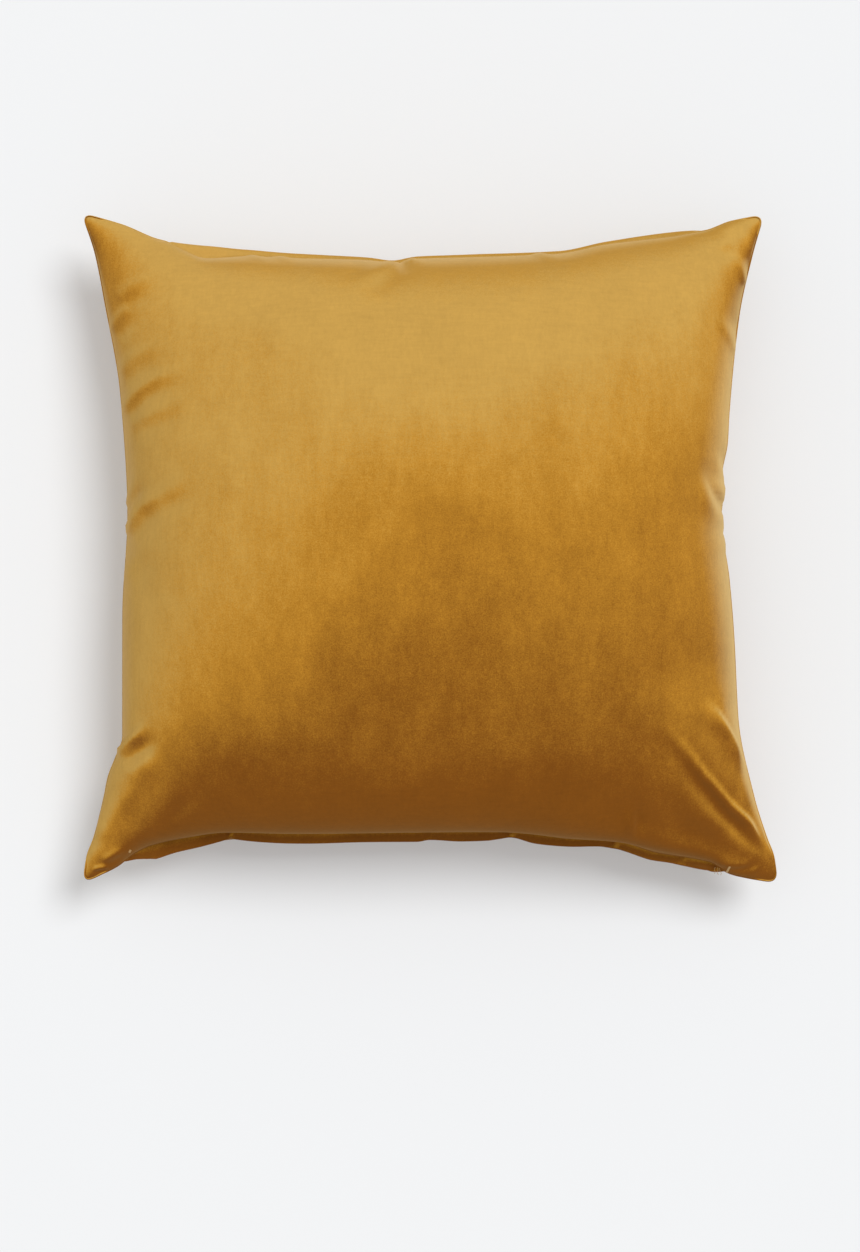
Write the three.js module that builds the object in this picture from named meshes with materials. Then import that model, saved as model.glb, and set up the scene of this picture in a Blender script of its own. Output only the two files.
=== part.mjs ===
// A square cushion cover in cut velvet, filled, lying on its back on a flat surface.
// Millimetres, +Z up. The origin is on that surface, under the middle of the outline.
// +Y runs to the top edge of the face, and the edge with the opening is the one at -Y.
import * as THREE from "three";

// Driving dimensions of the filled cover
const CROWN = 88; // from the seam up to the middle of the face
const BACK_DEPTH = 84; // from the seam down to where the back would reach if nothing held it up
const SEAM_HEIGHT = 61; // the seam above the surface, halfway along a side
const SEAM_THICKNESS = 2.6; // two layers of velvet turned over at the seam
const TIP_REACH = 9; // how far along each side the round of a corner tip runs
const CROWN_ROUNDNESS = 2.2; // a higher value makes a flatter face with steeper sides
const CROWN_STEEPNESS = 0.62; // a lower value lifts the cloth off the seam more steeply
const EAR_SPREAD = 6; // a higher value keeps a corner's own height closer to its tip

// The lip of the opening, a folded edge of cloth just outside the seam at -Y
const LIP_THICKNESS = 2.2;
const LIP_DROP = 1.4; // the lip lies this far below the middle of the seam
const LIP_GAP = 0.3; // clearance between the seam and the lip
const LIP_START = 0.07; // share of the side from the left corner, where the stitching ends
const LIP_END = 0.918;
const LIP_EDGE_SHARE = 0.3; // share of the lip's width that its rounded outer edge takes

const CELLS = 56; // grid cells from side to side
const FACE_STEP = 1; // grid cells that one cell of the face spans
const BACK_STEP = 2; // the back is plain, so its cells are larger
const EDGE_CROWDING = 0.45; // 0 spaces the cells evenly, near 1 crowds them to the seams

// The corner tips as they would meet without their round, and each one's height over the surface
const CORNERS = {
  bottomLeft: { x: -250, y: -241, up: 52 },
  bottomRight: { x: 250, y: -241, up: 48 },
  topRight: { x: 239, y: 239, up: 60 },
  topLeft: { x: -250, y: 240, up: 62 },
};

// How far the filling draws each side in from the straight line between its corners
const SIDES = {
  bottom: {
    from: "bottomLeft",
    to: "bottomRight",
    rows: [
      { along: 0, inward: 0 },
      { along: 0.02, inward: 5 },
      { along: 0.05, inward: 12.5 },
      { along: 0.075, inward: 22 },
      { along: 0.1, inward: 28 },
      { along: 0.16, inward: 34.5 },
      { along: 0.21, inward: 38 },
      { along: 0.3, inward: 36.8 },
      { along: 0.47, inward: 38 },
      { along: 0.6, inward: 38.4 },
      { along: 0.705, inward: 32.6 },
      { along: 0.766, inward: 31.2 },
      { along: 0.822, inward: 23 },
      { along: 0.9, inward: 16 },
      { along: 0.93, inward: 7.2 },
      { along: 0.955, inward: 4 },
      { along: 1, inward: 0 },
    ],
  },
  top: {
    from: "topLeft",
    to: "topRight",
    rows: [
      { along: 0, inward: 0 },
      { along: 0.06, inward: 8.4 },
      { along: 0.12, inward: 19.6 },
      { along: 0.2, inward: 23.8 },
      { along: 0.3, inward: 28.4 },
      { along: 0.42, inward: 31.6 },
      { along: 0.455, inward: 33.6 },
      { along: 0.49, inward: 30.8 },
      { along: 0.56, inward: 29.4 },
      { along: 0.7, inward: 26.6 },
      { along: 0.77, inward: 20.9 },
      { along: 0.88, inward: 13.6 },
      { along: 0.915, inward: 11 },
      { along: 0.95, inward: 5 },
      { along: 1, inward: 0 },
    ],
  },
  left: {
    from: "bottomLeft",
    to: "topLeft",
    rows: [
      { along: 0, inward: 0 },
      { along: 0.04, inward: 3 },
      { along: 0.07, inward: 8.4 },
      { along: 0.13, inward: 15.8 },
      { along: 0.16, inward: 18.8 },
      { along: 0.19, inward: 24.4 },
      { along: 0.22, inward: 29.3 },
      { along: 0.4, inward: 29.4 },
      { along: 0.55, inward: 33 },
      { along: 0.73, inward: 27.9 },
      { along: 0.87, inward: 16.3 },
      { along: 0.94, inward: 9.6 },
      { along: 1, inward: 0 },
    ],
  },
  right: {
    from: "bottomRight",
    to: "topRight",
    rows: [
      { along: 0, inward: 0 },
      { along: 0.04, inward: 2.6 },
      { along: 0.07, inward: 7.8 },
      { along: 0.13, inward: 16.4 },
      { along: 0.25, inward: 26.9 },
      { along: 0.37, inward: 28.5 },
      { along: 0.46, inward: 31.1 },
      { along: 0.52, inward: 34.8 },
      { along: 0.55, inward: 35.8 },
      { along: 0.58, inward: 34.2 },
      { along: 0.61, inward: 34.6 },
      { along: 0.66, inward: 30 },
      { along: 0.7, inward: 28.5 },
      { along: 0.85, inward: 19.5 },
      { along: 0.94, inward: 9 },
      { along: 1, inward: 0 },
    ],
  },
};

// The main folds of the face. Each is a soft ridge from the seam inwards with a trough beside it:
// turn is 1 for a trough on the left of the way in and -1 on the right, and bow bends the ridge left.
const FOLDS = [
  { fromX: 233, fromY: -212, toX: 150, toY: -108, bow: -5, width: 9.5, rise: 7.5, turn: 1 },
  { fromX: 228, fromY: -166, toX: 190, toY: -98, bow: -7, width: 7.5, rise: 5.5, turn: 1 },
  { fromX: 216, fromY: -192, toX: 156, toY: -153, bow: 2, width: 9, rise: 3, turn: 1 },
  { fromX: 141, fromY: -206, toX: 141, toY: -174, bow: 0, width: 6, rise: 3.5, turn: -1 },
  { fromX: -224, fromY: -150, toX: -194, toY: -116, bow: 2, width: 7, rise: 6, turn: -1 },
  { fromX: -226, fromY: -164, toX: -186, toY: -140, bow: 2, width: 8, rise: 4, turn: -1 },
  { fromX: -226, fromY: -222, toX: -186, toY: -158, bow: 4, width: 8, rise: 4, turn: 1 },
  { fromX: -194, fromY: -214, toX: -150, toY: -170, bow: -3, width: 8, rise: 3, turn: 1 },
  { fromX: -217, fromY: 8, toX: -184, toY: 46, bow: 4, width: 7, rise: 5, turn: -1 },
  { fromX: -217, fromY: -18, toX: -198, toY: 6, bow: 2, width: 7, rise: 3, turn: -1 },
  { fromX: -218, fromY: 106, toX: -194, toY: 119, bow: 2, width: 7, rise: 3.5, turn: -1 },
  { fromX: -227, fromY: 181, toX: -206, toY: 189, bow: 1, width: 6, rise: 3, turn: -1 },
  { fromX: 212, fromY: 14, toX: 182, toY: 60, bow: -3, width: 7, rise: 5, turn: -1 },
  { fromX: 210, fromY: 42, toX: 196, toY: 74, bow: -2, width: 6, rise: 3.5, turn: -1 },
  { fromX: 219, fromY: 143, toX: 204, toY: 158, bow: -1, width: 6, rise: 3, turn: -1 },
  { fromX: -27, fromY: 208, toX: -66, toY: 177, bow: 0, width: 7, rise: 2.5, turn: 1 },
];
const TROUGH_SHARE = 0.6; // a trough's depth as a share of its ridge's rise
const TROUGH_OFFSET = 1.7; // a trough's distance from its ridge, in ridge widths
const FOLD_FADE = 0.35; // share of a fold's length over which its ends fade out
const FOLD_FREE_AT = 0.25; // share of the crown at which the seam no longer holds a fold down

// How wide the lip shows outside the seam
const LIP_ROWS = [
  { along: 0.07, width: 3 },
  { along: 0.1, width: 10.5 },
  { along: 0.15, width: 7.6 },
  { along: 0.212, width: 5.4 },
  { along: 0.29, width: 7.2 },
  { along: 0.4, width: 6 },
  { along: 0.54, width: 7.4 },
  { along: 0.604, width: 5.4 },
  { along: 0.66, width: 6.3 },
  { along: 0.766, width: 4.4 },
  { along: 0.872, width: 7.6 },
  { along: 0.918, width: 2.4 },
];

/** The slope of a column at one row, limited so that the curve never overshoots its rows. */
function slopeAt(rows, column, i) {
  const slope = (a, b) => (rows[b][column] - rows[a][column]) / (rows[b].along - rows[a].along);
  if (i === 0) return slope(0, 1);
  if (i === rows.length - 1) return slope(i - 1, i);
  const before = slope(i - 1, i);
  const after = slope(i, i + 1);
  return before * after <= 0 ? 0 : (2 * before * after) / (before + after);
}

/** The value of a table's column at a share of the way along, on a smooth curve through its rows. */
function readColumn(rows, column, along) {
  let i = 0;
  while (i < rows.length - 2 && rows[i + 1].along < along) i += 1;
  const span = rows[i + 1].along - rows[i].along;
  const s = THREE.MathUtils.clamp((along - rows[i].along) / span, 0, 1);
  const start = rows[i][column];
  const end = rows[i + 1][column];
  const rise = s * s * (3 - 2 * s);
  const leave = s * (1 - s) * (1 - s) * slopeAt(rows, column, i) * span;
  const arrive = s * s * (s - 1) * slopeAt(rows, column, i + 1) * span;
  return start + (end - start) * rise + leave + arrive;
}

/** A corner's sharp tip, without its height. */
function tip(name) {
  return new THREE.Vector3(CORNERS[name].x, CORNERS[name].y, 0);
}

const FACE_MIDDLE = new THREE.Vector3(0, 0, 0);
const UP = new THREE.Vector3(0, 0, 1);

/** The level direction at right angles to a chord that points to the middle of the face. */
function inwardOf(start, end) {
  const across = end.clone().sub(start).cross(UP).normalize();
  const toMiddle = FACE_MIDDLE.clone().sub(start);
  return across.dot(toMiddle) < 0 ? across.negate() : across;
}

/** A point of a side's seam line before its tips are rounded. */
function sharpSidePoint(name, along) {
  const side = SIDES[name];
  const start = tip(side.from);
  const end = tip(side.to);
  const inward = inwardOf(start, end).multiplyScalar(readColumn(side.rows, "inward", along));
  const point = start.lerp(end, along).add(inward);
  const nearEnd = Math.abs(2 * along - 1) ** EAR_SPREAD;
  const corner = along < 0.5 ? CORNERS[side.from] : CORNERS[side.to];
  point.z = THREE.MathUtils.lerp(SEAM_HEIGHT, corner.up, nearEnd);
  return point;
}

/** A point of a side at a distance from one of its corners. */
function nearCorner(name, corner, distance) {
  const side = SIDES[name];
  const share = distance / tip(side.from).distanceTo(tip(side.to));
  return sharpSidePoint(name, side.from === corner ? share : 1 - share);
}

/** A point of a side's seam line, on the round of the tip where it is near a corner. */
function sidePoint(name, along) {
  const side = SIDES[name];
  const length = tip(side.from).distanceTo(tip(side.to));
  const corner = along < 0.5 ? side.from : side.to;
  const distance = Math.min(along, 1 - along) * length;
  if (distance >= TIP_REACH) return sharpSidePoint(name, along);
  const neighbour = Object.keys(SIDES).find(
    (other) => other !== name && [SIDES[other].from, SIDES[other].to].includes(corner),
  );
  const round = new THREE.QuadraticBezierCurve3(
    nearCorner(name, corner, TIP_REACH),
    nearCorner(name, corner, 0),
    nearCorner(neighbour, corner, TIP_REACH),
  );
  return round.getPoint(0.5 * (1 - distance / TIP_REACH));
}

/** The share of the way across for a grid line, with the lines crowded to the seams. */
function gridShare(i) {
  const even = i / CELLS;
  return even - (EDGE_CROWDING * Math.sin(2 * Math.PI * even)) / (2 * Math.PI);
}

const SHARES = Array.from({ length: CELLS + 1 }, (_, i) => gridShare(i));
const SEAM = Object.fromEntries(
  Object.keys(SIDES).map((name) => [name, SHARES.map((share) => sidePoint(name, share))]),
);

/** The point of the seam's level between the four sides, for one crossing of the grid. */
function seamLevelPoint(i, j) {
  const u = SHARES[i];
  const v = SHARES[j];
  const point = new THREE.Vector3();
  point.addScaledVector(SEAM.bottom[i], 1 - v).addScaledVector(SEAM.top[i], v);
  point.addScaledVector(SEAM.left[j], 1 - u).addScaledVector(SEAM.right[j], u);
  point.addScaledVector(SEAM.bottom[0], -(1 - u) * (1 - v));
  point.addScaledVector(SEAM.bottom[CELLS], -u * (1 - v));
  point.addScaledVector(SEAM.top[0], -(1 - u) * v);
  return point.addScaledVector(SEAM.top[CELLS], -u * v);
}

/** The share of the full crown at one crossing: 1 in the middle, 0 on the seams. */
function fullness(i, j) {
  const across = (share) => (1 - Math.abs(2 * share - 1) ** CROWN_ROUNDNESS) ** CROWN_STEEPNESS;
  return across(SHARES[i]) * across(SHARES[j]);
}

/** How far one fold lifts the face at a point. */
function foldLift(fold, point) {
  const start = new THREE.Vector2(fold.fromX, fold.fromY);
  const way = new THREE.Vector2(fold.toX, fold.toY).sub(start);
  const offset = new THREE.Vector2(point.x, point.y).sub(start);
  const share = offset.dot(way) / way.lengthSq();
  const inside = THREE.MathUtils.clamp(share, 0, 1);
  const bend = 4 * fold.bow * inside * (1 - inside);
  const aside = way.cross(offset) / way.length() - bend;
  const bell = (distance) => Math.exp(-((distance / fold.width) ** 2));
  const trough = TROUGH_SHARE * bell(aside - fold.turn * TROUGH_OFFSET * fold.width);
  const innerFade = 1 - THREE.MathUtils.smoothstep(share, 1 - FOLD_FADE, 1 + FOLD_FADE);
  const outerFade = THREE.MathUtils.smoothstep(share, -FOLD_FADE, FOLD_FADE / 2);
  return fold.rise * (bell(aside) - trough) * innerFade * outerFade;
}

/** A point of the face. */
function facePoint(i, j) {
  const point = seamLevelPoint(i, j);
  const full = fullness(i, j);
  const folds = FOLDS.reduce((sum, fold) => sum + foldLift(fold, point), 0);
  const freedom = Math.min(1, full / FOLD_FREE_AT);
  point.z += SEAM_THICKNESS / 2 + CROWN * full + folds * freedom;
  return point;
}

/** A point of the back, which is flat where it rests on the surface. */
function backPoint(i, j) {
  const point = seamLevelPoint(i, j);
  point.z = Math.max(0, point.z - SEAM_THICKNESS / 2 - BACK_DEPTH * fullness(i, j));
  return point;
}

/** A closed geometry from points and triangles. */
function closedGeometry(points, triangles) {
  const geometry = new THREE.BufferGeometry().setFromPoints(points);
  geometry.setIndex(triangles);
  geometry.computeVertexNormals();
  return geometry;
}

/** Whether a crossing of the grid lies on the seam. */
function isOnSeam(i, j) {
  return i === 0 || j === 0 || i === CELLS || j === CELLS;
}

/** The crossings around one cell of a panel, anticlockwise, with those of the seam between its corners. */
function cellCrossings(i, j, step) {
  const corners = [
    [i, j],
    [i + step, j],
    [i + step, j + step],
    [i, j + step],
  ];
  return corners.flatMap(([fromI, fromJ], n) => {
    const [toI, toJ] = corners[(n + 1) % corners.length];
    const between = [];
    for (let k = 1; k < step; k += 1) {
      between.push([fromI + ((toI - fromI) * k) / step, fromJ + ((toJ - fromJ) * k) / step]);
    }
    return [[fromI, fromJ], ...between.filter(([atI, atJ]) => isOnSeam(atI, atJ))];
  });
}

/** The crossings of the seam, anticlockwise. */
function seamCrossings() {
  const steps = Array.from({ length: CELLS }, (_, k) => k);
  return [
    ...steps.map((k) => [k, 0]),
    ...steps.map((k) => [CELLS, k]),
    ...steps.map((k) => [CELLS - k, CELLS]),
    ...steps.map((k) => [0, CELLS - k]),
  ];
}

/** The filled cover: its face and back, joined by the seam all round. */
function filledCover() {
  const points = [];
  const triangles = [];
  const numberedBy = (pointAt) => {
    const numbers = new Map();
    return ([i, j]) => {
      const key = `${i} ${j}`;
      if (!numbers.has(key)) numbers.set(key, points.push(pointAt(i, j)) - 1);
      return numbers.get(key);
    };
  };
  const face = numberedBy(facePoint);
  const back = numberedBy(backPoint);
  const fromMiddle = ([i, j]) => Math.abs(2 * i - CELLS) + Math.abs(2 * j - CELLS);
  const addPanel = (step, numberOf, addTriangle) => {
    for (let j = 0; j < CELLS; j += step) {
      for (let i = 0; i < CELLS; i += step) {
        const around = cellCrossings(i, j, step);
        const nearest = around.reduce((a, b) => (fromMiddle(b) < fromMiddle(a) ? b : a));
        const start = around.indexOf(nearest);
        const fan = [...around.slice(start), ...around.slice(0, start)].map(numberOf);
        for (let n = 1; n < fan.length - 1; n += 1) addTriangle(fan[0], fan[n], fan[n + 1]);
      }
    }
  };
  addPanel(FACE_STEP, face, (a, b, c) => triangles.push(a, b, c));
  addPanel(BACK_STEP, back, (a, b, c) => triangles.push(a, c, b));
  const seam = seamCrossings();
  seam.forEach((here, n) => {
    const next = seam[(n + 1) % seam.length];
    triangles.push(back(here), back(next), face(next), back(here), face(next), face(here));
  });
  return closedGeometry(points, triangles);
}

/** The stations of the lip along the opening's side: the grid's own, with the two ends added. */
function lipStations() {
  const between = SHARES.filter((share) => share > LIP_START && share < LIP_END);
  return [LIP_START, ...between, LIP_END];
}

/** The lip of the opening: a flat folded edge that follows the seam. */
function openingLip() {
  const stations = lipStations();
  const half = LIP_THICKNESS / 2;
  const section = [
    { out: 0, up: -half },
    { out: 0, up: half },
    { out: 1 - LIP_EDGE_SHARE, up: half },
    { out: 1 - LIP_EDGE_SHARE / 4, up: half / 2 },
    { out: 1, up: 0 },
    { out: 1 - LIP_EDGE_SHARE / 4, up: -half / 2 },
    { out: 1 - LIP_EDGE_SHARE, up: -half },
  ];
  const points = [];
  const triangles = [];
  const count = section.length;
  stations.forEach((along, k) => {
    const before = sharpSidePoint("bottom", stations[Math.max(k - 1, 0)]);
    const after = sharpSidePoint("bottom", stations[Math.min(k + 1, stations.length - 1)]);
    const outward = after.sub(before).setZ(0).cross(UP).normalize();
    const width = readColumn(LIP_ROWS, "width", along);
    for (const { out, up } of section) {
      const point = sharpSidePoint("bottom", along);
      point.addScaledVector(outward, LIP_GAP + out * width);
      points.push(point.setZ(point.z + up - LIP_DROP));
    }
  });
  for (let k = 0; k < stations.length - 1; k += 1) {
    for (let n = 0; n < count; n += 1) {
      const a = k * count + n;
      const b = k * count + ((n + 1) % count);
      triangles.push(a, b, b + count, a, b + count, a + count);
    }
  }
  const last = (stations.length - 1) * count;
  for (let n = 1; n < count - 1; n += 1) {
    triangles.push(0, n + 1, n, last, last + n, last + n + 1);
  }
  return closedGeometry(points, triangles);
}

const velvet = new THREE.MeshStandardMaterial({ color: 0xba8a36, roughness: 0.9, metalness: 0 });
const velvetEdge = new THREE.MeshStandardMaterial({ color: 0xa06f24, roughness: 0.9, metalness: 0 });

/** One named piece of the object. */
function piece(name, geometry, material) {
  const mesh = new THREE.Mesh(geometry, material);
  mesh.name = name;
  return mesh;
}

const cover = piece("filled_cover", filledCover(), velvet);
const lip = piece("opening_lip", openingLip(), velvetEdge);
const cushion = new THREE.Group();
cushion.add(cover, lip);

// The outline is moved over the origin
const middle = new THREE.Box3().setFromObject(cushion).getCenter(new THREE.Vector3());
cushion.position.set(-middle.x, -middle.y, 0);

export default cushion;
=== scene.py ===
"""The looks of a filled velvet cushion cover that lies on its back.

Metres, +Z up, in the frame of the solids. +Y runs to the top edge of the face, and the edge with the
concealed opening is the one at -Y. Tables of sizes are in millimetres.
"""

from __future__ import annotations

import logging
import math
from dataclasses import dataclass
from enum import Enum
from typing import Any, Callable, Sequence

import bpy
import numpy as np
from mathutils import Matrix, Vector
from mathutils.bvhtree import BVHTree


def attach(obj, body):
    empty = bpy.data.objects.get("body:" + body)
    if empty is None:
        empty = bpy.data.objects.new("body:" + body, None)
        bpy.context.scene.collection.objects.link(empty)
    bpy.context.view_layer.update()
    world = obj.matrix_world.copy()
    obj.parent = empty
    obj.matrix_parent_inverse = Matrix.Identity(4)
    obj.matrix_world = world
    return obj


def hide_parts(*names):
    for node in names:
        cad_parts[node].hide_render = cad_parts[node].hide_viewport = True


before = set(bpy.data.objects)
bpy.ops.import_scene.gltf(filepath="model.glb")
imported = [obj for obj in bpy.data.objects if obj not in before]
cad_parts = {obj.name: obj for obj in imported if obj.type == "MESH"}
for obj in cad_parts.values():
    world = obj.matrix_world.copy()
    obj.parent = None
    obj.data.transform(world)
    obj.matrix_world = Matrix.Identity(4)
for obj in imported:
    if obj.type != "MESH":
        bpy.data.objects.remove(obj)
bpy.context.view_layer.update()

MM = 0.001
SMALLEST = 1e-12
ABOVE_ALL = 1.0
LOG = logging.getLogger("cushion cover")

Rows = tuple[tuple[float, float], ...]
Grid = np.ndarray


def cubic(ends: Sequence[Grid], slopes: Sequence[Grid], s: np.ndarray, span: np.ndarray) -> np.ndarray:
    """Runs from one value to the next with a given slope at each.

    Args:
        ends: The first values and the last ones.
        slopes: The slopes at both.
        s: Shares of the way from one to the other.
        span: How long the way is.

    Returns:
        The values at those shares.
    """
    rise = s * s * (3 - 2 * s)
    leave = s * (1 - s) ** 2 * slopes[0] * span
    arrive = s * s * (s - 1) * slopes[1] * span
    return ends[0] + (ends[1] - ends[0]) * rise + leave + arrive


def read_rows(rows: Rows, along: np.ndarray) -> np.ndarray:
    """Reads a table as a smooth curve that never overshoots its rows.

    Args:
        rows: Pairs of a share of the way along and a value, in order.
        along: The shares to read at.

    Returns:
        The value at each share.
    """
    share, value = np.array(rows, float).T
    slope = np.diff(value) / np.diff(share)
    product = slope[:-1] * slope[1:]
    total = np.where(product > 0, slope[:-1] + slope[1:], 1.0)
    bend = np.concatenate([slope[:1], np.where(product > 0, 2 * product / total, 0.0), slope[-1:]])
    i = np.clip(np.searchsorted(share, along, side="right") - 1, 0, len(share) - 2)
    span = share[i + 1] - share[i]
    s = np.clip((along - share[i]) / span, 0, 1)
    return cubic((value[i], value[i + 1]), (bend[i], bend[i + 1]), s, span)


def smooth_step(low: float, high: float, value: np.ndarray) -> np.ndarray:
    """Rises smoothly from 0 where the value is low to 1 where it is high."""
    s = np.clip((value - low) / (high - low), 0, 1)
    return s * s * (3 - 2 * s)


def unit(vectors: np.ndarray) -> np.ndarray:
    """Scales each vector in the last axis to a length of one."""
    return vectors / np.maximum(np.linalg.norm(vectors, axis=-1, keepdims=True), SMALLEST)


def outward_of(along: np.ndarray) -> np.ndarray:
    """Turns directions along an anticlockwise edge into level ones that point out of it."""
    return unit(np.stack([along[:, 1], -along[:, 0], np.zeros(len(along))], -1))


@dataclass(frozen=True)
class Corner:
    """A corner tip before its round, in millimetres, with its height over the surface."""

    x: float
    y: float
    up: float

    def point(self) -> np.ndarray:
        """The tip as an array."""
        return np.array([self.x, self.y, self.up])


@dataclass(frozen=True)
class Side:
    """One side of the seam, drawn in from the straight line between two corners.

    drawn_in gives how far the outermost cloth lies inside that line, and rolled how much farther in the
    seam lies, where the back panel shows outside it from above. Both are in millimetres at shares of the
    way along. The larger ear_spread is, the closer to a tip the seam starts to run to the tip's height.
    """

    start: Corner
    end: Corner
    drawn_in: Rows
    rolled: Rows = ((0.0, 0.0), (1.0, 0.0))
    seam_height: float = 61.0
    ear_spread: float = 6.0

    def inward(self) -> np.ndarray:
        """The level direction from the side to the middle of the face."""
        run = self.end.point() - self.start.point()
        across = np.array([run[1], -run[0], 0.0]) / np.hypot(run[0], run[1])
        return across if across @ -self.start.point() > 0 else -across

    def length(self) -> float:
        """The distance between the two corners in plan."""
        return math.hypot(self.end.x - self.start.x, self.end.y - self.start.y)

    def points(self, along: np.ndarray) -> np.ndarray:
        """Follows the seam before its tips are rounded.

        Args:
            along: Shares of the way from the start corner to the end corner.

        Returns:
            One point for each share, in millimetres.
        """
        start, end = self.start.point(), self.end.point()
        points = start + (end - start) * along[:, None]
        inwards = read_rows(self.drawn_in, along) + read_rows(self.rolled, along)
        points += self.inward() * inwards[:, None]
        near_end = np.abs(2 * along - 1) ** self.ear_spread
        tip_height = np.where(along < 0.5, start[2], end[2])
        points[:, 2] = self.seam_height + (tip_height - self.seam_height) * near_end
        return points

    def from_corner(self, corner: Corner, distance: float) -> np.ndarray:
        """Finds the point of the side at a distance, in millimetres, from one of its corners."""
        share = distance / self.length()
        return self.points(np.array([share if corner == self.start else 1 - share]))[0]


@dataclass(frozen=True)
class Seam:
    """The closed seam between the two panels: four sides and their rounded tips."""

    bottom: Side
    top: Side
    left: Side
    right: Side
    tip_reach: float = 9.0
    kink_rounds: int = 400
    kink_reach: float = 0.045

    KINK_STATIONS = 201

    def side(self, side: Side, along: np.ndarray) -> np.ndarray:
        """Follows one side, with the round of its tips.

        Args:
            side: The side to follow.
            along: Shares of the way along it.

        Returns:
            One point for each share, in millimetres.
        """
        points = side.points(along)
        for corner in (side.start, side.end):
            neighbour = next(
                other
                for other in (self.bottom, self.top, self.left, self.right)
                if other is not side and corner in (other.start, other.end)
            )
            away = along if corner == side.start else 1 - along
            distance = away * side.length()
            near = distance < self.tip_reach
            turn = (0.5 * (1 - distance[near] / self.tip_reach))[:, None]
            here = side.from_corner(corner, self.tip_reach)
            there = neighbour.from_corner(corner, self.tip_reach)
            points[near] = (1 - turn) ** 2 * here + 2 * turn * (1 - turn) * corner.point() + turn**2 * there
        return points

    def evened(self, line: np.ndarray) -> np.ndarray:
        """Evens out the small kinks of a line between its ends."""
        even = line.copy()
        for _ in range(self.kink_rounds):
            even[1:-1] = 0.5 * even[1:-1] + 0.25 * (even[:-2] + even[2:])
        return even

    def level(self, shares: np.ndarray) -> Grid:
        """Fills the seam with a grid of points between its four sides.

        The small kinks of the seam die out a short way in from it.

        Args:
            shares: The grid lines, as shares of the way across, the same both ways.

        Returns:
            Points in rows from the bottom side to the top side, in millimetres.
        """
        dense = np.linspace(0, 1, self.KINK_STATIONS)
        lines, kinks = [], []
        for side in (self.bottom, self.top, self.left, self.right):
            exact = self.side(side, shares)
            even = self.evened(self.side(side, dense))
            lines.append(np.stack([np.interp(shares, dense, even[:, axis]) for axis in range(3)], -1))
            kinks.append(exact - lines[-1])
        bottom, top, left, right = lines
        u, v = shares[None, :, None], shares[:, None, None]
        grid = (1 - v) * bottom[None] + v * top[None] + (1 - u) * left[:, None] + u * right[:, None]
        corners = (1 - u) * (1 - v) * bottom[0] + u * (1 - v) * bottom[-1]
        grid = grid - corners - (1 - u) * v * top[0] - u * v * top[-1]
        low, high = np.exp(-v / self.kink_reach), np.exp(-(1 - v) / self.kink_reach)
        near, far = np.exp(-u / self.kink_reach), np.exp(-(1 - u) / self.kink_reach)
        grid += low * kinks[0][None] + high * kinks[1][None]
        return grid + near * kinks[2][:, None] + far * kinks[3][:, None]


BOTTOM_LEFT = Corner(-250, -241, 52)
BOTTOM_RIGHT = Corner(250, -241, 48)
TOP_RIGHT = Corner(239, 239, 60)
TOP_LEFT = Corner(-250, 240, 62)

SEAM = Seam(
    bottom=Side(
        BOTTOM_LEFT,
        BOTTOM_RIGHT,
        drawn_in=(
            (0, 0), (0.02, 5), (0.05, 12.5), (0.075, 22), (0.1, 28), (0.16, 34.5), (0.21, 38),
            (0.3, 36.8), (0.47, 38), (0.6, 38.4), (0.705, 32.6), (0.766, 31.2), (0.822, 23), (0.9, 16),
            (0.93, 7.2), (0.955, 4), (1, 0),
        ),
    ),
    top=Side(
        TOP_LEFT,
        TOP_RIGHT,
        drawn_in=(
            (0, 0), (0.06, 8.4), (0.12, 19.6), (0.2, 23.8), (0.3, 28.4), (0.42, 31.6), (0.455, 33.6),
            (0.49, 30.8), (0.56, 29.4), (0.7, 26.6), (0.77, 19.8), (0.88, 12.2), (0.915, 11), (0.95, 5),
            (1, 0),
        ),
        rolled=(
            (0, 0), (0.118, 0), (0.15, 5), (0.181, 9.5), (0.21, 7.5), (0.25, 4.5), (0.32, 3.2),
            (0.47, 1.6), (0.6, 2), (0.75, 1.6), (0.86, 3), (0.93, 0), (1, 0),
        ),
    ),
    left=Side(
        BOTTOM_LEFT,
        TOP_LEFT,
        drawn_in=(
            (0, 0), (0.04, 3), (0.07, 8.4), (0.13, 15.8), (0.16, 18.8), (0.19, 24.4), (0.22, 29.3),
            (0.4, 29.4), (0.55, 33), (0.73, 27.9), (0.87, 16.3), (0.94, 9.6), (1, 0),
        ),
    ),
    right=Side(
        BOTTOM_RIGHT,
        TOP_RIGHT,
        drawn_in=(
            (0, 0), (0.04, 2.6), (0.07, 7.8), (0.13, 16.4), (0.25, 26.9), (0.37, 28.5), (0.46, 31.1),
            (0.52, 34.8), (0.55, 35.8), (0.58, 34.2), (0.61, 34.6), (0.66, 30), (0.7, 28.5), (0.85, 19.5),
            (0.94, 9), (1, 0),
        ),
    ),
)


class Hand(Enum):
    """The side of a fold's path that its hollow lies on, seen along the path from above."""

    LEFT = 1
    RIGHT = -1


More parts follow.
